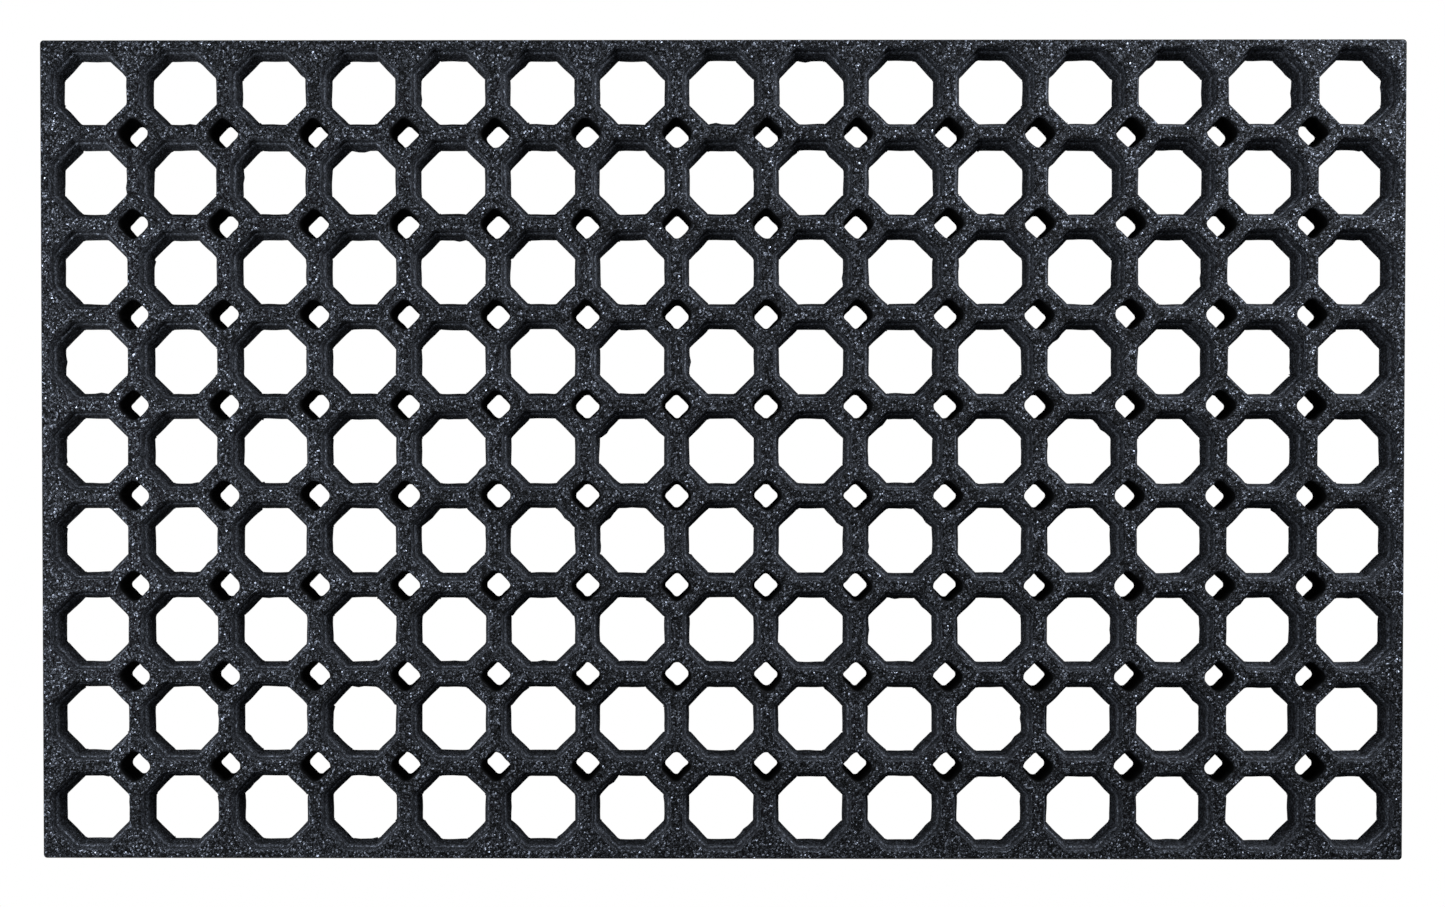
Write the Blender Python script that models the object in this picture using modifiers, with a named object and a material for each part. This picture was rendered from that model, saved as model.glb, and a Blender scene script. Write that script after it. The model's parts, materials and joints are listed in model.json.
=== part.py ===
"""Open-ring rubber door mat, in metres, +Z up.

The mat lies flat on Z = 0 with its centre on the Z axis, its long side along X. It is a grid of square cells. Each
cell has an octagonal opening right through it, and a small square drain, turned 45 degrees, goes through each
crossing between four openings. An opening's wall steps back as it rises: an upright lip at the underside, a flared
wall, a narrow ledge, and a steep wall up to the tread. A drain widens evenly and ends in a chamfered mouth.

The real mat is one moulding that rolls up. It bends where it is weakest, across the middle of a column of openings,
where only narrow links join one bar to the next. So the moulding is modelled as strips that meet on those lines,
each strip hinged to the next at the tread, and the strip at the mat's middle carries the others outwards.
"""

import math

import bmesh
import bpy
from mathutils import Matrix, Vector

# The grid
PITCH = 0.050
COLUMNS = 15
ROWS = 9
THICKNESS = 0.022
PLAN_CORNER_RADIUS = 0.002

# The octagonal openings, from the underside up
LIP_BAR = 0.0140  # rubber left between two openings at the lip
LIP_HEIGHT = 0.0070
FLARE_SETBACK = 0.00205  # how far the flared wall leans back from the lip
FLARE_HEIGHT = 0.0066
LEDGE_SETBACK = 0.00115
LEDGE_HEIGHT = 0.0007
RIM_SETBACK = 0.0006

# The square drains at the crossings
DRAIN_WIDTH = 0.0104  # between opposite sides, at the underside
DRAIN_DRAFT = 0.0017  # how far each side has leant back where the mouth starts
DRAIN_MOUTH = 0.0015  # the mouth's chamfer, as wide as it is deep
DRAIN_CORNER_CUT = 0.0016

# Between one strip and the next
STRIP_GAP = 0.0003

CUT_OVERRUN = 0.002  # how far a cutter passes the face that it cuts through
SIDES = 8
RUBBER_COLOUR = (0.026, 0.029, 0.035, 1.0)
RUBBER_ROUGHNESS = 0.75

LENGTH = COLUMNS * PITCH
WIDTH = ROWS * PITCH
LIP_APOTHEM = (PITCH - LIP_BAR) / 2
STRIP_COUNT = COLUMNS + 1
ROOT = STRIP_COUNT // 2 - 1  # the strip that carries the others, counted from 0 at the left


def clear_scene():
    for obj in list(bpy.data.objects):
        bpy.data.objects.remove(obj)


def new_collection(name, hidden=False):
    collection = bpy.data.collections.new(name)
    bpy.context.scene.collection.children.link(collection)
    collection.hide_render = hidden
    return collection


def rubber_material():
    material = bpy.data.materials.new("rubber")
    material.use_nodes = True
    shader = material.node_tree.nodes["Principled BSDF"]
    shader.inputs["Base Color"].default_value = RUBBER_COLOUR
    shader.inputs["Roughness"].default_value = RUBBER_ROUGHNESS
    shader.inputs["Metallic"].default_value = 0.0
    return material


def object_from(bm, name, collection):
    mesh = bpy.data.meshes.new(name)
    bm.to_mesh(mesh)
    bm.free()
    obj = bpy.data.objects.new(name, mesh)
    collection.objects.link(obj)
    return obj


def make_cutter(obj):
    obj.hide_render = True
    obj.display_type = "WIRE"
    return obj


def bevel_upright_edges(bm, radius, segments, wanted):
    """Rounds the edges that stand along Z, where wanted(middle of the edge) is true."""
    edges = []
    for edge in bm.edges:
        start, end = (vert.co for vert in edge.verts)
        if abs(start.z - end.z) > radius and wanted((start + end) / 2):
            edges.append(edge)
    bmesh.ops.bevel(bm, geom=edges, offset=radius, segments=segments, profile=0.5, affect="EDGES")


def repeat_on_grid(obj, columns, rows):
    """Repeats a cutter over a grid of cells with two Array modifiers, and centres the grid on the mat."""
    for name, count, direction in (("columns", columns, (1, 0, 0)), ("rows", rows, (0, 1, 0))):
        array = obj.modifiers.new(name, "ARRAY")
        array.count = count
        array.use_relative_offset = False
        array.use_constant_offset = True
        array.constant_offset_displace = [PITCH * step for step in direction]
    obj.location = (-(columns - 1) * PITCH / 2, -(rows - 1) * PITCH / 2, 0)


def opening_cutter(collection):
    """The space of one octagonal opening: its wall section turned about Z in eight steps, flats facing X and Y."""
    flare_top = LIP_HEIGHT + FLARE_HEIGHT
    ledge_top = flare_top + LEDGE_HEIGHT
    flare = LIP_APOTHEM + FLARE_SETBACK
    ledge = flare + LEDGE_SETBACK
    rim = ledge + RIM_SETBACK
    section = (
        (0, THICKNESS + CUT_OVERRUN),
        (rim, THICKNESS + CUT_OVERRUN),
        (rim, THICKNESS),
        (ledge, ledge_top),
        (flare, flare_top),
        (LIP_APOTHEM, LIP_HEIGHT),
        (LIP_APOTHEM, -CUT_OVERRUN),
        (0, -CUT_OVERRUN),
    )
    corner_slope = math.tan(math.pi / SIDES)
    bm = bmesh.new()
    points = [bm.verts.new((apothem, apothem * corner_slope, z)) for apothem, z in section]
    for upper, lower in zip(points, points[1:]):
        bm.edges.new((upper, lower))
    cutter = make_cutter(object_from(bm, "opening_cutter", collection))
    screw = cutter.modifiers.new("turn", "SCREW")
    screw.steps = SIDES
    screw.render_steps = SIDES
    screw.use_merge_vertices = True
    screw.merge_threshold = 0.0001
    repeat_on_grid(cutter, COLUMNS, ROWS)
    return cutter


def drain_ring(bm, half_width, z):
    """The corners of a square turned 45 degrees, each of its four corners cut back to two points."""
    ring = []
    for quarter in range(4):
        turn = Matrix.Rotation(math.pi / 4 + quarter * math.pi / 2, 3, "Z")
        for along in (DRAIN_CORNER_CUT - half_width, half_width - DRAIN_CORNER_CUT):
            ring.append(bm.verts.new(turn @ Vector((half_width, along, z))))
    return ring


def drain_cutter(collection):
    """The space of one drain: rings of points from below the underside to above the tread, with faces between."""
    foot = DRAIN_WIDTH / 2
    throat = foot + DRAIN_DRAFT
    mouth = throat + DRAIN_MOUTH
    section = (
        (foot, -CUT_OVERRUN),
        (foot, 0),
        (throat, THICKNESS - DRAIN_MOUTH),
        (mouth, THICKNESS),
        (mouth, THICKNESS + CUT_OVERRUN),
    )
    bm = bmesh.new()
    rings = [drain_ring(bm, half_width, z) for half_width, z in section]
    for lower, upper in zip(rings, rings[1:]):
        for i in range(len(lower)):
            bm.faces.new((lower[i - 1], lower[i], upper[i], upper[i - 1]))
    bm.faces.new(rings[0])
    bm.faces.new(rings[-1])
    bmesh.ops.recalc_face_normals(bm, faces=bm.faces)
    cutter = make_cutter(object_from(bm, "drain_cutter", collection))
    repeat_on_grid(cutter, COLUMNS - 1, ROWS - 1)
    return cutter


def strip_name(index):
    if index == 0:
        return "left_edge_strip"
    if index == STRIP_COUNT - 1:
        return "right_edge_strip"
    return f"strip_{index + 1:02d}"


def hinge_x(index):
    """Where flex line number index crosses the mat, counted from 0 at the left: the middle of a column of openings."""
    return (index - (COLUMNS - 1) / 2) * PITCH


def strip_origin(index):
    """A strip's origin is on the hinge that carries it, at the tread; the root's is the middle of its underside."""
    if index < ROOT:
        return Vector((hinge_x(index), 0, THICKNESS))
    if index > ROOT:
        return Vector((hinge_x(index - 1), 0, THICKNESS))
    return Vector(((hinge_x(index - 1) + hinge_x(index)) / 2, 0, 0))


def strip_span(index):
    """The strip's least and greatest X, with half of the gap taken off each cut side."""
    low = -LENGTH / 2 if index == 0 else hinge_x(index - 1) + STRIP_GAP / 2
    high = LENGTH / 2 if index == STRIP_COUNT - 1 else hinge_x(index) - STRIP_GAP / 2
    return low, high


def strip(index, cutters, material, collection):
    """One strip: a slab across the mat, rounded at the mat's own corners, with the openings and drains cut out."""
    low, high = strip_span(index)
    origin = strip_origin(index)
    bm = bmesh.new()
    bmesh.ops.create_cube(bm, size=1)
    bmesh.ops.scale(bm, vec=(high - low, WIDTH, THICKNESS), verts=bm.verts)
    bmesh.ops.translate(bm, vec=((low + high) / 2, 0, THICKNESS / 2), verts=bm.verts)
    if index in (0, STRIP_COUNT - 1):
        outer = LENGTH / 2 - STRIP_GAP
        bevel_upright_edges(bm, PLAN_CORNER_RADIUS, 3, lambda middle: abs(middle.x) > outer)
    bmesh.ops.translate(bm, vec=-origin, verts=bm.verts)
    obj = object_from(bm, strip_name(index), collection)
    obj.location = origin
    obj.data.materials.append(material)
    for cutter in cutters:
        cut = obj.modifiers.new(cutter.name, "BOOLEAN")
        cut.operation = "DIFFERENCE"
        cut.solver = "EXACT"
        cut.object = cutter
    return obj


def carry(strips, child, parent):
    """Parents one strip to the next one inwards, without moving it."""
    strips[child].parent = strips[parent]
    strips[child].location = strip_origin(child) - strip_origin(parent)


def build():
    clear_scene()
    mat = new_collection("rubber_ring_door_mat")
    helpers = new_collection("cutters", hidden=True)
    material = rubber_material()
    cutters = (opening_cutter(helpers), drain_cutter(helpers))
    strips = [strip(index, cutters, material, mat) for index in range(STRIP_COUNT)]
    for index in range(ROOT + 1, STRIP_COUNT):
        carry(strips, index, index - 1)
    for index in range(ROOT):
        carry(strips, index, index + 1)


build()
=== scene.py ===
# %% [markdown]
# # An open-ring rubber door mat
# The mat is one moulding of coarse black rubber: a grid of square cells, each with an octagonal opening,
# and a small square drain at every crossing between four openings. Grit and water fall through, and the
# thin lips under each opening scrape the shoe. The design file has settled its size, its openings and the
# lines along which it bends. This script only gives it its looks, so it begins by loading that design as a
# frame that nothing here may move.

# %% The frame
import json
import math

import bmesh
import bpy
import numpy as np
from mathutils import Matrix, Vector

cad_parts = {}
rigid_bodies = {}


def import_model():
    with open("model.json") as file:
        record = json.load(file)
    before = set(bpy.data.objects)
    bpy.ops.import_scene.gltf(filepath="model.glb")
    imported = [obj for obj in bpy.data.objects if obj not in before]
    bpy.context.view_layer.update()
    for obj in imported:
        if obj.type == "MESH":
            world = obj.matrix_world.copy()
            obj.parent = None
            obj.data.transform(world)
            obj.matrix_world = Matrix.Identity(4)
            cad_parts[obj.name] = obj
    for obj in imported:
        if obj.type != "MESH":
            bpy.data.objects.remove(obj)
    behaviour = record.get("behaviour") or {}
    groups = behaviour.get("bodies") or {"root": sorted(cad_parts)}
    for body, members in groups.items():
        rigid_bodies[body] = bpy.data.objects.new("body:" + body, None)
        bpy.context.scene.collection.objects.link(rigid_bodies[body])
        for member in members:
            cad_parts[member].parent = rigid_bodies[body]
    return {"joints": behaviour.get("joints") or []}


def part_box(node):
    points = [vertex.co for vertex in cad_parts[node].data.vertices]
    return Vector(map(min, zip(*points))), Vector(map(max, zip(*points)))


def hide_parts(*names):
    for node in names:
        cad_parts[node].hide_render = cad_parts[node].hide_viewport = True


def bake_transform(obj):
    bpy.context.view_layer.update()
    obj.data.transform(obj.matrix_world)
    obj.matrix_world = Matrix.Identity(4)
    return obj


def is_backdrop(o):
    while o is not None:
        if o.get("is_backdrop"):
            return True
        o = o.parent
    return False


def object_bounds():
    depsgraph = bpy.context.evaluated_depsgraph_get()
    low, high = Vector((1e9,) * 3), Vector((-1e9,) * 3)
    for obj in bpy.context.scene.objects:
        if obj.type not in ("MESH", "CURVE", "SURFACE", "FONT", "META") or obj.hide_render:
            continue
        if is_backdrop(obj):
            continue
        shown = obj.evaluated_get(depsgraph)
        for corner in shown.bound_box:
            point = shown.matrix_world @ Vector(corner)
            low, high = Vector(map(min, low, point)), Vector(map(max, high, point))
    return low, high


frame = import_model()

MM = 0.001
CAD_LOW, CAD_HIGH = (np.array(corner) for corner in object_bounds())
print("design box, mm:", np.round((CAD_HIGH - CAD_LOW) / MM, 1))

# %% [markdown]
# ## The grid of cells
# Every place in the mat follows from its cells, so they are read from the frame. A flex line runs across
# the middle of each column of openings, which makes the flex lines' places the columns' middles. The cells
# are square, so the same pitch gives the rows.

# %% Columns, rows and the strips on either side of each flex line
flex_lines = sorted(frame["joints"], key=lambda joint: joint["pos_m"][0])
COLUMN_X = np.array([joint["pos_m"][0] for joint in flex_lines])
PITCH = float(COLUMN_X[1] - COLUMN_X[0])
HALF = PITCH / 2
ROWS = round(float(CAD_HIGH[1] - CAD_LOW[1]) / PITCH)
ROW_Y = (np.arange(ROWS) - (ROWS - 1) / 2) * PITCH
THICKNESS = float(CAD_HIGH[2] - CAD_LOW[2])


def strips_beside(joint):
    """The strip to the left of a flex line and the one to its right, told apart by where their boxes
    start."""
    return sorted((joint["parent"], joint["child"]), key=lambda strip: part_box(strip)[0].x)


print(len(COLUMN_X), "columns,", ROWS, "rows")
print("pitch", round(PITCH / MM, 2), "mm, thickness", round(THICKNESS / MM, 2), "mm")

# %% [markdown]
# ## The camera
# It comes first because it decides how much detail is worth making. The view is straight down from a little
# over a metre, close enough that the openings away from the middle show one wall each. A slight tilt and
# lens shift frame the mat evenly although the camera stands a few centimetres off its centre.

# %% The camera
CAMERA_PLACE = (-0.0131, -0.0190, 1.258)
CAMERA_TILT = (math.radians(-1.026), math.radians(0.354), math.radians(0.023))
CAMERA_SHIFT = (0.0265, 0.0496)

camera_data = bpy.data.cameras.new("overhead_camera")
camera_data.lens = 55.8
camera_data.sensor_width = 36.0
camera_data.shift_x, camera_data.shift_y = CAMERA_SHIFT
camera = bpy.data.objects.new("overhead_camera", camera_data)
camera.location = CAMERA_PLACE
camera.rotation_euler = CAMERA_TILT
bpy.context.scene.collection.objects.link(camera)
bpy.context.scene.camera = camera
print("camera", round(CAMERA_PLACE[2] - THICKNESS, 3), "m above the tread")

# %% [markdown]
# ## The wall of an opening
# The mould draws out upwards, so each opening widens in steps from a thin upright lip at the underside,
# through a flared wall and a narrow ledge, to a steep wall that rounds over into the tread. A wall like
# this is a section carried round an octagon. The section is a handful of corners, each rounded with its own
# radius, which is how it would be drawn for the mould maker.


# %% A section with rounded corners
def rounded(corners, radii, steps):
    """A polyline with each inner corner replaced by a short curve: it leaves the first side one radius
    before the corner, is pulled towards the corner, and joins the next side one radius after it. With t
    from 0 to 1 it is (1-t)^2 times the start, plus 2t(1-t) times the corner, plus t^2 times the end."""
    corners = np.array(corners, float)
    t = np.linspace(0, 1, steps + 1)[:, None]
    pieces = [corners[:1]]
    for before, corner, after, radius in zip(corners, corners[1:], corners[2:], radii):
        start = corner + radius * (before - corner) / np.linalg.norm(before - corner)
        end = corner + radius * (after - corner) / np.linalg.norm(after - corner)
        pieces.append((1 - t) ** 2 * start + 2 * t * (1 - t) * corner + t**2 * end)
    pieces.append(corners[-1:])
    return np.concatenate(pieces)


LIP_BAR = 14.0 * MM  # rubber between two openings at the lip
LIP_APOTHEM = (PITCH - LIP_BAR) / 2
TREAD_TOP = THICKNESS / MM

# How far back from the lip's face, and how high, each corner of the wall is, from the tread down
RIM, LEDGE_BACK, LEDGE_FRONT = (3.8, TREAD_TOP), (3.2, 14.3), (2.05, 13.6)
CREASE, LIP_TOP = (1.3, 9.3), (0, 6.6)
wall_corners = [(4.95, TREAD_TOP), RIM, LEDGE_BACK, LEDGE_FRONT, CREASE, LIP_TOP, (0, 0), (1.0, 0)]
wall_radii = [1.0, 0.45, 0.45, 0.7, 0.6, 0.35]
WALL_STEPS = 3  # points on each rounding
wall = rounded(np.array(wall_corners) * MM, np.array(wall_radii) * MM, WALL_STEPS)
print("wall section:", len(wall), "points; opening", round(2 * LIP_APOTHEM / MM, 1), "mm at the lip")

# %% [markdown]
# ## Round the octagon
# Eight flats with small rounded corners between them, each flat and its two half corners being one sector
# of ten steps. A sector's middle looks along its own direction, so every ring of the opening, whatever its
# size, has its points on the same rays, and neighbouring rings join without twisting.

# %% Points round an opening
SECTORS = 8
HALF_CORNER = math.pi / SECTORS
corner_turn = np.radians([-22.5, -15, -7.5, 0, 0, 0, 0, 0, 7.5, 15])
along_flat = np.array([-1, -1, -1, -1, -0.5, 0, 0.5, 1, 1, 1])
STEPS = len(along_flat)
AROUND = SECTORS * STEPS

facing = np.repeat(np.arange(SECTORS) * 2 * HALF_CORNER, STEPS)
turned = facing + np.tile(corner_turn, SECTORS)
along = np.tile(along_flat, SECTORS)


def octagon(apothem, corner_radius):
    """Points round a rounded octagon. Each is the corner circle's centre, at apothem minus radius along the
    sector's direction and a share of the flat across it, plus the radius in the direction that the rubber
    faces there."""
    inner = apothem - corner_radius
    across = along * inner * np.tan(HALF_CORNER)
    x = inner * np.cos(facing) - across * np.sin(facing) + corner_radius * np.cos(turned)
    y = inner * np.sin(facing) + across * np.cos(facing) + corner_radius * np.sin(turned)
    return np.stack([x, y], axis=-1)


print(AROUND, "points round each opening")

# %% [markdown]
# ## The cell's outline
# Outside the opening a cell ends at its neighbours, at the mat's own edge, or at a drain. A drain is a
# small square with rounded corners, turned 45 degrees, and one side of it cuts off each inner corner of a
# cell. The outline is made one corner at a time, in a frame turned so that the corner is always the one at
# upper right. Torn rubber leaves no drain quite square, so each side bulges a little, most in its middle
# and not at all where two cells meet. The mat also stands a little past the design's size, and its outer
# edges take that up.

# %% One corner of a cell's outline
DRAIN_HALF = 5.2 * MM  # at the underside
DRAIN_CORNER = 2.3 * MM
PLAN_CORNER = 2.0 * MM
OVERSIZE = 0.9 * MM  # how far the mat stands past the design at each outer edge
DRAIN_REACH = HALF - (DRAIN_HALF - DRAIN_CORNER) * math.sqrt(2)
CORNER_REACH = DRAIN_REACH - DRAIN_CORNER
bulge_shape = np.sin(np.linspace(0, np.pi, STEPS + 1))


def on_circle(centre, radius, angles):
    return np.array(centre) + radius * np.stack([np.cos(angles), np.sin(angles)], axis=-1)


def drain_side(inset, bulge):
    """One side of a drain, from one cell side to the next: an eighth of a circle, a straight part and an
    eighth, each point moved along the cell's diagonal by its share of the bulge."""
    radius = DRAIN_CORNER + inset
    first = on_circle((HALF, DRAIN_REACH), radius, np.radians(np.linspace(-90, -135, 4)))
    last = on_circle((DRAIN_REACH, HALF), radius, np.radians(np.linspace(-135, -180, 4)))
    straight = first[-1] + np.array([0.25, 0.5, 0.75])[:, None] * (last[0] - first[-1])
    return np.concatenate([first, straight, last]) + bulge[:, None] * math.sqrt(0.5)


def plain_corner(first_inset, last_inset, radius):
    """From one cell side to the next round a square corner, or round an arc at the mat's own corner."""
    x, y = HALF - first_inset, HALF - last_inset
    if radius == 0:
        share = np.linspace(0, 1, STEPS // 2 + 1)[:, None]
        first = np.array([x, CORNER_REACH]) + share * np.array([0, y - CORNER_REACH])
        last = np.array([x, y]) + share[1:] * np.array([CORNER_REACH - x, 0])
        return np.concatenate([first, last])
    arc = on_circle((x - radius, y - radius), radius, np.radians(np.linspace(0, 90, STEPS - 1)))
    return np.concatenate([[(x, CORNER_REACH)], arc, [(CORNER_REACH, y)]])


def outline(at_edge, drain_inset, edge_inset, bulges):
    """A cell's outline, pulled in by one inset at the drains and another where a side is the mat's own
    edge. at_edge says, for right, far, left and near, whether that side is the mat's edge. The bulges are
    one row of distances for each drain side."""
    corners = []
    for quarter in range(4):
        first, last = at_edge[quarter], at_edge[(quarter + 1) % 4]
        if first or last:
            inset = edge_inset - OVERSIZE
            radius = PLAN_CORNER - edge_inset if first and last else 0
            points = plain_corner(inset * first, inset * last, radius)
        else:
            points = drain_side(drain_inset, bulges[quarter])
        turn = quarter * math.pi / 2
        spin = np.array([[math.cos(turn), math.sin(turn)], [-math.sin(turn), math.cos(turn)]])
        corners.append(points @ spin)
    share = np.linspace(0, 1, STEPS, endpoint=False)[:, None]
    sides = [corners[q - 1][-1] + share * (corners[q][0] - corners[q - 1][-1]) for q in range(4)]
    return np.concatenate([part for q in range(4) for part in (sides[q], corners[q][:-1])])


print("drain", round(2 * DRAIN_HALF / MM, 1), "mm across at the underside")

# %% [markdown]
# ## Errors of the mould and the rubber
# Moulded rubber is never exact. Each opening gets a slow wobble of its own, and its lip is ragged, with a
# burr here and there where the mould halves met. Each drain side gets its bulge. All of them are drawn at
# random, from one generator with a fixed seed, so the mat comes out the same every time.

# %% Wobble, burrs and bulges
WOBBLE = 0.07 * MM  # for each of the slow waves round an opening
LIP_RAGGED = 0.21 * MM
BURR_CHANCE = 0.03
DRAIN_BULGE = 0.22 * MM
DRAIN_RAGGED = 0.16 * MM
rng = np.random.default_rng(15)
direction = np.linspace(0, 2 * np.pi, AROUND, endpoint=False)


def smoothed(noise):
    """Each value averaged with its neighbours, a quarter, a half and a quarter."""
    return (np.roll(noise, 1) + 2 * noise + np.roll(noise, -1)) / 4


def wobble(orders, size):
    """A slow error round an opening: a sum of cosines of a few whole turns, each with its own size and
    phase."""
    sizes = rng.normal(0, size, len(orders))
    phases = rng.uniform(0, 2 * np.pi, len(orders))
    return (sizes[:, None] * np.cos(np.outer(orders, direction) + phases[:, None])).sum(axis=0)


def lip_error():
    """The lip's raggedness: noise from point to point, averaged with its neighbours, and a few burrs that
    stand in."""
    burrs = (rng.random(AROUND) < BURR_CHANCE) * rng.uniform(0.2, 0.7, AROUND) * MM
    return smoothed(rng.normal(0, LIP_RAGGED, AROUND)) - burrs


def drain_bulges():
    """For each of a cell's four corners, how far the drain's side stands out: one bulge, and noise on top
    of it."""
    sizes = rng.normal(0, DRAIN_BULGE, (4, 1))
    ragged = smoothed(rng.normal(0, DRAIN_RAGGED, 4 * (STEPS + 1))).reshape(4, STEPS + 1)
    return (sizes + ragged) * bulge_shape


print("a lip strays by about", round(float(lip_error().std() / MM), 2), "mm")

# %% [markdown]
# ## One cell as a closed band
# Seen in section, the rubber round an opening is a closed loop: in over the tread, down the stepped wall,
# out along the underside, and up the outside. Rings carried along that loop give one grid for the whole
# cell, closed both ways. A drain has draft, as the mould's pin had, and its mouth rounds over into the
# tread.

# %% The rings of a cell
DRAIN_DRAFT = 1.7 * MM
DRAIN_MOUTH = 1.5 * MM
EDGE_ROUND = 0.8 * MM
FOOT_ROUND = 0.3 * MM
TREAD_SHARES = np.array([0.0, 0.12, 0.5, 0.88])
FOOT_SHARES = np.array([0.12, 0.6])
UPRIGHT_SHARES = np.array([0.3, 0.65])
round_off = np.linspace(0, math.pi / 2, 5)


def opening_rings():
    """The wall's rings: each point of the section gives an octagon at the lip's apothem plus that point's
    offset, plus the wobble, which the whole wall shares, and the lip's raggedness, which fades out above
    the lip."""
    slow = wobble(np.arange(2, 6), WOBBLE)
    ragged = lip_error()
    rings = []
    for offset, height in wall:
        ring = octagon(LIP_APOTHEM + offset, 2.0 * MM + 0.5 * offset)
        fade = np.clip(1 - offset / (1.2 * MM), 0, 1)
        error = slow * np.clip((5 * MM - offset) / MM, 0, 1) + ragged * fade
        ring = ring * (1 + error[:, None] / np.linalg.norm(ring, axis=-1, keepdims=True))
        rings.append(np.column_stack([ring, np.full(AROUND, height)]))
    return np.array(rings)


def at_height(points, height):
    """Points in the plane given a height, one for all or one for each."""
    return np.column_stack([points, np.broadcast_to(height, len(points))])


def between(first, last, shares):
    """Rings between two others, at each share of the way from the first to the last."""
    return np.array([first + share * (last - first) for share in shares])


def edge_share(at_edge):
    """For each point of the outline, 1 where it moves with the mat's edge, 0 where it moves with a drain,
    and 0 where it moves with neither: found by moving the edge alone."""
    still = np.zeros((4, STEPS + 1))
    moved = outline(at_edge, 0, MM, still) - outline(at_edge, 0, 0, still)
    return (np.linalg.norm(moved, axis=-1) > 0.5 * MM).astype(float)


def outside_rings(at_edge, bulges):
    """The outside of a cell from foot to tread: a small rounding, the upright, which leans back at the
    drains by their draft, and the rounding into the tread."""
    share = edge_share(at_edge)
    top_round = share * EDGE_ROUND + (1 - share) * DRAIN_MOUTH
    rings = []
    for angle in round_off[::2]:
        inset = FOOT_ROUND * (1 - math.sin(angle))
        ring = outline(at_edge, inset, inset, bulges)
        rings.append(at_height(ring, FOOT_ROUND * (1 - math.cos(angle))))
    start, end = FOOT_ROUND, THICKNESS - top_round
    for upright in UPRIGHT_SHARES:
        ring = outline(at_edge, DRAIN_DRAFT * upright, 0, bulges)
        rings.append(at_height(ring, start + upright * (end - start)))
    for angle in round_off:
        inset = 1 - math.cos(angle)
        ring = outline(at_edge, DRAIN_DRAFT + DRAIN_MOUTH * inset, EDGE_ROUND * inset, bulges)
        rings.append(at_height(ring, THICKNESS - top_round * (1 - math.sin(angle))))
    return np.array(rings)


def cell(at_edge):
    """All rings of one cell, in order: tread, wall, underside, and the outside from the foot back up to the
    tread."""
    inner = opening_rings()
    rise = outside_rings(at_edge, drain_bulges())
    tread = between(rise[-1], inner[0], TREAD_SHARES)
    foot = between(inner[-1], rise[0], FOOT_SHARES)
    return np.concatenate([tread, inner, foot, rise[:-1]])


sample = cell((False, False, False, False))
RINGS = len(sample)
TREAD_RINGS = len(TREAD_SHARES)
FIRST_OUTSIDE = TREAD_RINGS + len(wall) + len(FOOT_SHARES)
print("a cell has", RINGS, "rings of", AROUND, "points:", 2 * RINGS * AROUND, "triangles")

# %% [markdown]
# ## Nine cells make a column
# A piece of the mat is one column of cells, because a column is what bends: it holds one flex line down its
# middle and ends in the middle of a bar on either side, where the rubber stays straight. The cells of a
# column share their walls, so the walls between them are left out and the points that meet are merged,
# which leaves one closed solid. Each point also keeps what the rubber's finish needs: where it was when the
# mat lay flat, so that the grain stays on the rubber when the mat bends, and three marks: how much it is
# tread, how much painted highlight it gets on the ledge's and the rim's edges, and how much it is a drain's
# wall.


# %% What kind of surface each point is on, and where a highlight is painted
def cell_marks(at_edge):
    """For each point of a cell, ring by ring, from 0 to 1: how much it is tread, how much painted highlight
    it gets on the ledge's and the rim's edges, and how much it is a drain's wall."""
    heights, backs = wall[:, 1] / THICKNESS, wall[:, 0] / MM
    on_wall = slice(TREAD_RINGS, TREAD_RINGS + len(wall))
    tread = np.zeros((RINGS, AROUND))
    tread[:TREAD_RINGS] = 1
    tread[on_wall] = np.clip((heights - 0.93) / 0.05, 0, 1)[:, None]
    rising = np.linspace(0, 1, len(round_off))[:-1, None]
    tread[1 - len(round_off) :] = rising
    painted_highlight = np.zeros((RINGS, AROUND))
    # The ledge's and the rim's edges are painted lighter: a painted highlight for the light that these
    # convex edges catch.
    on_ledge = np.clip(1 - np.abs(backs - 2.3) / 0.6, 0, 1)
    on_rim = np.clip(1 - np.abs(backs - 4.0) / 0.6, 0, 1)
    painted_highlight[on_wall] = np.maximum(on_ledge, on_rim)[:, None]
    drain = np.zeros((RINGS, AROUND))
    drain[FIRST_OUTSIDE:] = 1 - edge_share(at_edge)
    drain[1 - len(round_off) :] *= 1 - rising
    return {"tread": tread, "painted_highlight": painted_highlight, "drain": drain}


# %% One column of cells as a mesh
SHARP_ANGLE = math.radians(38)
MERGE_DISTANCE = 1e-6


def column_grid(column):
    """A column's points as rows of cells of rings of points, the quads between them that are kept, and the
    marks."""
    last_column, last_row = len(COLUMN_X) - 1, ROWS - 1
    points, quads, marks = [], [], []
    ring, step = np.meshgrid(np.arange(RINGS), np.arange(AROUND), indexing="ij")
    next_ring, next_step = (ring + 1) % RINGS, (step + 1) % AROUND
    corners = [(ring, step), (ring, next_step), (next_ring, next_step), (next_ring, step)]
    corners = np.stack([at_ring * AROUND + at_step for at_ring, at_step in corners], axis=-1)
    for row in range(ROWS):
        at_edge = (column == last_column, row == last_row, column == 0, row == 0)
        rings = cell(at_edge)
        flat_y = rings[..., 1].ravel()
        outside = ring >= FIRST_OUTSIDE
        far = (flat_y[corners] > HALF - 1e-7).all(axis=-1) & (row < last_row)
        near = (flat_y[corners] < 1e-7 - HALF).all(axis=-1) & (row > 0)
        kept = ~(outside & (far | near))
        quads.append(corners[kept] + row * RINGS * AROUND)
        points.append(rings + np.array([COLUMN_X[column], ROW_Y[row], 0]))
        marks.append(cell_marks(at_edge))
    marks = {mark: np.array([part[mark] for part in marks]).ravel() for mark in marks[0]}
    return np.array(points).reshape(-1, 3), np.concatenate(quads), marks


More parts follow.
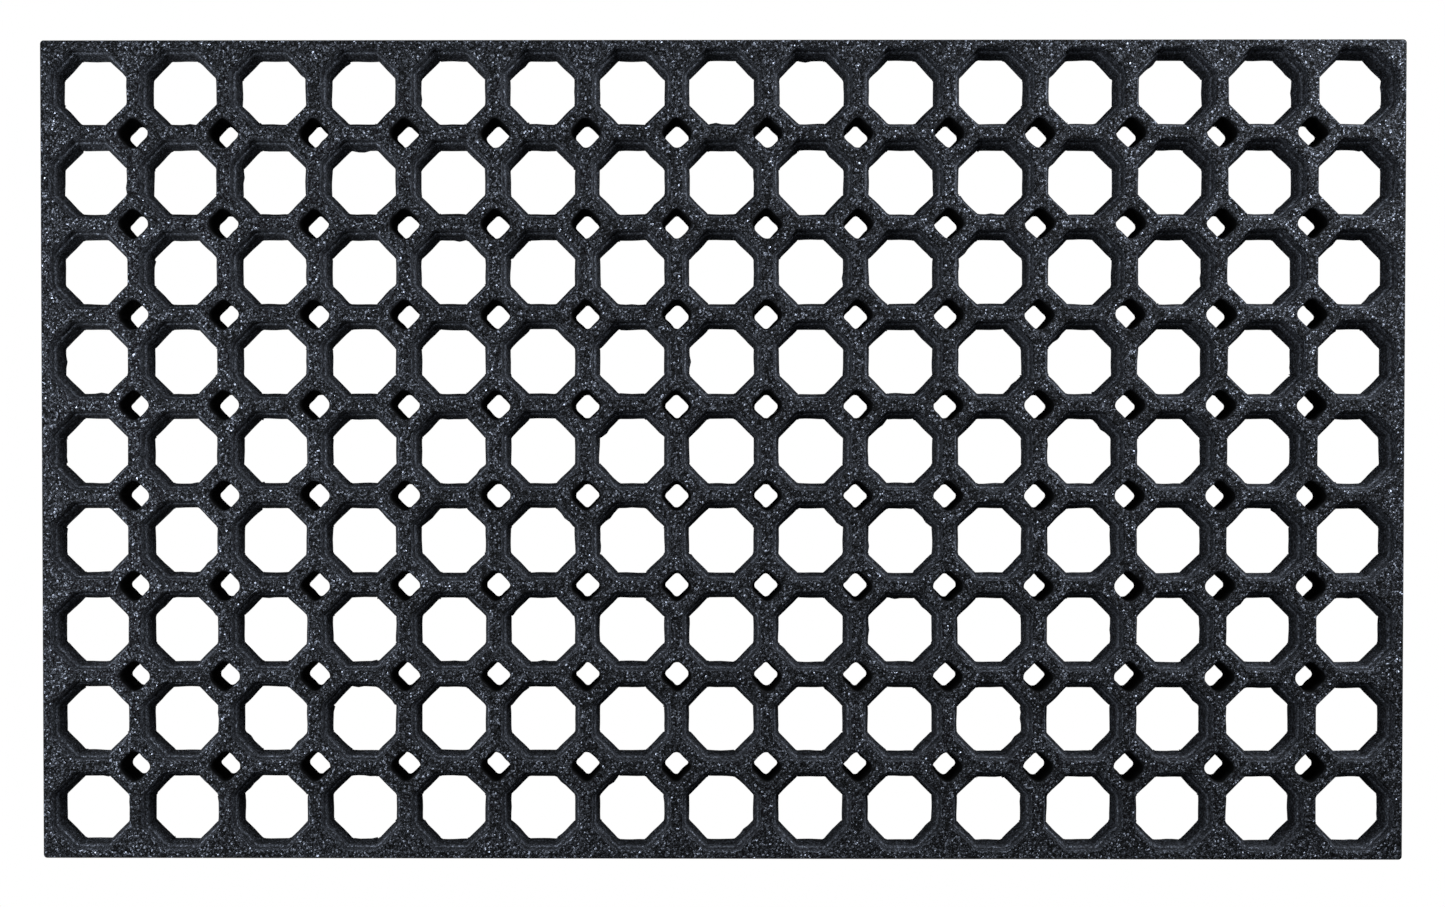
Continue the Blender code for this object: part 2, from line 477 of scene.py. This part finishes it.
def mesh_from(name, points, quads, marks):
    """Puts whole arrays into a new mesh, with one attribute for each mark, and drops the points that no
    quad uses."""
    used, quads = np.unique(quads, return_inverse=True)
    mesh = bpy.data.meshes.new(name)
    mesh.vertices.add(len(used))
    mesh.vertices.foreach_set("co", points[used].ravel())
    quads = quads.reshape(-1)
    mesh.loops.add(len(quads))
    mesh.loops.foreach_set("vertex_index", quads)
    mesh.polygons.add(len(quads) // 4)
    mesh.polygons.foreach_set("loop_start", np.arange(0, len(quads), 4))
    mesh.update(calc_edges=True)
    for mark, values in marks.items():
        attribute = mesh.attributes.new(mark, "FLOAT", "POINT")
        attribute.data.foreach_set("value", values[used].astype(np.float32))
    return mesh


def close_up(mesh):
    """Merges the points that meet, keeps the grain's place, and says how many edges are left open."""
    work = bmesh.new()
    work.from_mesh(mesh)
    bmesh.ops.remove_doubles(work, verts=work.verts, dist=MERGE_DISTANCE)
    if work.calc_volume(signed=True) < 0:
        bmesh.ops.reverse_faces(work, faces=work.faces)
    open_edges = sum(not edge.is_manifold for edge in work.edges)
    volume = work.calc_volume()
    work.to_mesh(mesh)
    work.free()
    place = np.empty(len(mesh.vertices) * 3, np.float32)
    mesh.vertices.foreach_get("co", place)
    flat_place = mesh.attributes.new("flat_place", "FLOAT_VECTOR", "POINT")
    flat_place.data.foreach_set("vector", place)
    mesh.shade_smooth()
    mesh.set_sharp_from_angle(angle=SHARP_ANGLE)
    return open_edges, volume


columns = []
totals = np.zeros(3)
for number in range(len(COLUMN_X)):
    points, quads, marks = column_grid(number)
    mesh = mesh_from(f"cell_column_{number + 1:02d}", points, quads, marks)
    open_edges, volume = close_up(mesh)
    piece = bpy.data.objects.new(mesh.name, mesh)
    bpy.context.scene.collection.objects.link(piece)
    columns.append(piece)
    totals += (open_edges, volume, 2 * len(mesh.polygons))
print(f"{len(columns)} columns, {totals[0]:.0f} open edges")
print(f"{totals[1] * 1e6:.0f} cm3 of rubber, {totals[2]:.0f} triangles")

# %% [markdown]
# ## Each column stands in for the strips beside its flex line
# The design's strips on either side of each flex line are hidden, and each column's placement is baked into
# its points.

# %% Columns in place of their strips
for joint, piece in zip(flex_lines, columns):
    left, right = strips_beside(joint)
    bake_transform(piece)
    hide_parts(left, right)
print("each column turns over", round(2 * LIP_APOTHEM / MM, 1), "mm")

# %% [markdown]
# ## Shader maths as Python
# The rubber's finish is worked out per point from several noises. A small wrapper round a node's socket
# turns Python's own operators into Math nodes, so that the finish below reads like arithmetic.


# %% A socket that can be calculated with
class Value:
    """A socket of a material's node tree. Arithmetic on it adds Math nodes and gives the result's
    socket."""

    def __init__(self, tree, socket):
        self.tree, self.socket = tree, socket

    def node(self, kind, settings=None, **inputs):
        """Adds a node of this kind, sets its settings, then its inputs by name, or by _number."""
        made = self.tree.nodes.new(kind)
        for name, setting in (settings or {}).items():
            setattr(made, name, setting)
        for name, value in inputs.items():
            which = int(name[1:]) if name[0] == "_" else name
            target = made.inputs[which]
            if isinstance(value, Value):
                self.tree.links.new(value.socket, target)
            else:
                target.default_value = value
        return Value(self.tree, made.outputs[0])

    def out(self, output):
        """Another output of this value's node, by name or number."""
        return Value(self.tree, self.socket.node.outputs[output])

    def maths(self, operation, *operands):
        inputs = {f"_{i}": operand for i, operand in enumerate(operands)}
        return self.node("ShaderNodeMath", {"operation": operation}, **inputs)

    def __add__(self, other):
        return self.maths("ADD", self, other)

    def __sub__(self, other):
        return self.maths("SUBTRACT", self, other)

    def __mul__(self, other):
        return self.maths("MULTIPLY", self, other)

    def __rsub__(self, other):
        return self.maths("SUBTRACT", other, self)

    __radd__ = __add__
    __rmul__ = __mul__

    def exp(self):
        return self.maths("EXPONENT", self)

    def within(self, low, high):
        return self.maths("MINIMUM", self.maths("MAXIMUM", self, low), high)


# %% [markdown]
# ## Coarse moulded rubber
# The mat is pressed from rubber granules, so its tread and lips are a field of one-millimetre grains, most
# of them dark and a few pale, each tilted its own way. The mould has left the stepped walls smoother, and
# the drains, where its pins went through, smoothest of all. The drains' walls are also painted near black,
# as painted shade for the deep, narrow holes. Each grain is one cell of a Voronoi pattern. The sum of the
# cell's three random numbers falls in a bell, and a power of e of that bell gives what real grains show:
# shades that spread by ratios. A finer pattern on top stands for the dust and the crumbs between the
# grains.


# %% The rubber
RUBBER_COLOUR = (0.0245, 0.0280, 0.0352)
GRAIN = 0.85 * MM
CRUMB = 0.48 * MM


def rubber():
    """The rubber's nodes, from its place and marks to its colour, roughness and bump."""
    material = bpy.data.materials.new("granulated_rubber")
    material.use_nodes = True
    tree = material.node_tree
    shader = tree.nodes["Principled BSDF"]
    start = Value(tree, shader.outputs[0])  # the tree's own nodes are added from here

    def attribute(name, output):
        return start.node("ShaderNodeAttribute", {"attribute_name": name}).out(output)

    place = attribute("flat_place", "Vector")
    tread = attribute("tread", "Fac")
    painted_highlight = attribute("painted_highlight", "Fac")
    drain = attribute("drain", "Fac")

    def granules(size):
        """A bell-shaped random number for each granule, from -3 to 3, and how high its dome stands at each
        point."""
        cells = {"Vector": place, "Scale": 1 / size, "Randomness": 1.0}
        pattern = start.node("ShaderNodeTexVoronoi", {"feature": "F1"}, **cells)
        numbers = start.node("ShaderNodeSeparateColor", Color=pattern.out("Color"))
        bell = (numbers.out(0) + numbers.out(1) + numbers.out(2) - 1.5) * 2
        return bell, 1 - pattern.out("Distance")

    grain, dome = granules(GRAIN)
    crumb, crumb_dome = granules(CRUMB)
    cloud = start.node("ShaderNodeTexNoise", Vector=place, Scale=45.0, Detail=2.0, Roughness=0.5)
    cloud = cloud.out("Fac") - 0.5

    height = start.node("ShaderNodeSeparateXYZ", Vector=place).out("Z") * (1 / THICKNESS)
    # lip marks the lowest part of the walls. It makes their grain coarser. In wall_level below it also
    # paints them lighter: painted light standing in for light from the table below.
    lip = (1 - height * 3.4).within(0.0, 1.0)
    coarse = tread + (1 - tread) * (1 - drain) * (lip * 0.4 + 0.5)
    spread = coarse * 1.25
    shade = (grain * spread + crumb * spread * 0.75 + cloud * 0.5).exp()
    # The highlight mark lightens the ledge's and the rim's edges here: a painted highlight.
    wall_level = (0.68 + painted_highlight * 1.9 + lip * 0.4) * (1 - tread) * (1 - drain)
    # drain * 0.06 gives the drains' walls only a small share of the colour: painted shade for the deep,
    # narrow holes.
    level = tread * 0.38 + wall_level + drain * 0.06
    scale = {"operation": "SCALE"}
    colour = start.node("ShaderNodeVectorMath", scale, _0=RUBBER_COLOUR, Scale=shade * level)
    tree.links.new(colour.socket, shader.inputs["Base Color"])

    rough = 0.85 - grain * 0.06 * coarse - (1 - coarse) * 0.2
    tree.links.new(rough.socket, shader.inputs["Roughness"])

    relief = (dome + crumb_dome * 0.4) * (coarse * 0.85 + 0.15) * (1 - drain * 0.8)
    bump = start.node("ShaderNodeBump", Strength=1.0, Distance=0.45 * MM, Height=relief)
    tree.links.new(bump.socket, shader.inputs["Normal"])
    shader.inputs["Specular IOR Level"].default_value = 0.12
    return material


rubber_finish = rubber()
for piece in columns:
    piece.data.materials.append(rubber_finish)
print("rubber made of", len(rubber_finish.node_tree.nodes), "nodes")

# %% [markdown]
# ## The studio
# The mat lies over a white table that fills every opening evenly, inside a white backdrop. The camera alone
# sees those white surfaces, and a grey table just beneath takes part in the light instead, because white
# light from below would brighten every wall. One soft light stands at the left and one past the far right
# corner, both close and low, so that the near right corner is the darkest. A weak one beyond the far long
# side and one overhead keep the other walls readable.


# %% The floor, the lights and the air
def emission(name, strength):
    """A plain white material that glows and takes no light."""
    material = bpy.data.materials.new(name)
    material.use_nodes = True
    tree = material.node_tree
    tree.nodes.clear()
    glow = tree.nodes.new("ShaderNodeEmission")
    glow.inputs["Strength"].default_value = strength
    out = tree.nodes.new("ShaderNodeOutputMaterial")
    tree.links.new(glow.outputs[0], out.inputs["Surface"])
    return material


def matt(name, grey):
    """A plain grey material."""
    material = bpy.data.materials.new(name)
    material.use_nodes = True
    shader = material.node_tree.nodes["Principled BSDF"]
    shader.inputs["Base Color"].default_value = (grey, grey, grey, 1.0)
    shader.inputs["Roughness"].default_value = 0.9
    return material


def staged(name, material):
    """Names the surface that was just added, gives it its material, and sets it apart from the mat."""
    surface = bpy.context.object
    surface.name = name
    surface.data.materials.append(material)
    surface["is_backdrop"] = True
    return surface


def soft_light(name, place, size, power):
    """A rectangular soft light of a given size, turned so that it shines from its place at the mat."""
    data = bpy.data.lights.new(name, "AREA")
    data.shape = "RECTANGLE"
    data.size, data.size_y = size
    data.energy = power
    light = bpy.data.objects.new(name, data)
    light.location = place
    light.rotation_euler = (-light.location).to_track_quat("-Z", "Y").to_euler()
    bpy.context.scene.collection.objects.link(light)
    return light


paper = emission("white_paper", 1.0)
bpy.ops.mesh.primitive_plane_add(size=24, location=(0, 0, -0.0005))
table = staged("white_table", paper)
bpy.ops.mesh.primitive_uv_sphere_add(segments=64, ring_count=32, radius=10)
backdrop = staged("white_backdrop", paper)
for white in (table, backdrop):
    white.visible_diffuse = white.visible_glossy = white.visible_shadow = False
    white.visible_transmission = white.visible_volume_scatter = False
bpy.ops.mesh.primitive_plane_add(size=24, location=(0, 0, -0.0015))
staged("grey_table", matt("grey_table", 0.35))

soft_light("left_softbox", (-0.62, 0.0, 0.42), (0.3, 0.5), 4.3)
soft_light("far_right_softbox", (0.62, 0.46, 0.36), (0.3, 0.3), 7.4)
soft_light("far_softbox", (0.0, 0.95, 0.6), (1.4, 0.4), 1.5)
soft_light("overhead_softbox", (0.0, 0.2, 2.2), (1.6, 1.2), 2.5)

world = bpy.data.worlds.new("pale_room")
world.use_nodes = True
world.node_tree.nodes["Background"].inputs["Color"].default_value = (1, 1, 1, 1)
world.node_tree.nodes["Background"].inputs["Strength"].default_value = 0.1
bpy.context.scene.world = world
bpy.context.scene.view_settings.view_transform = "Standard"
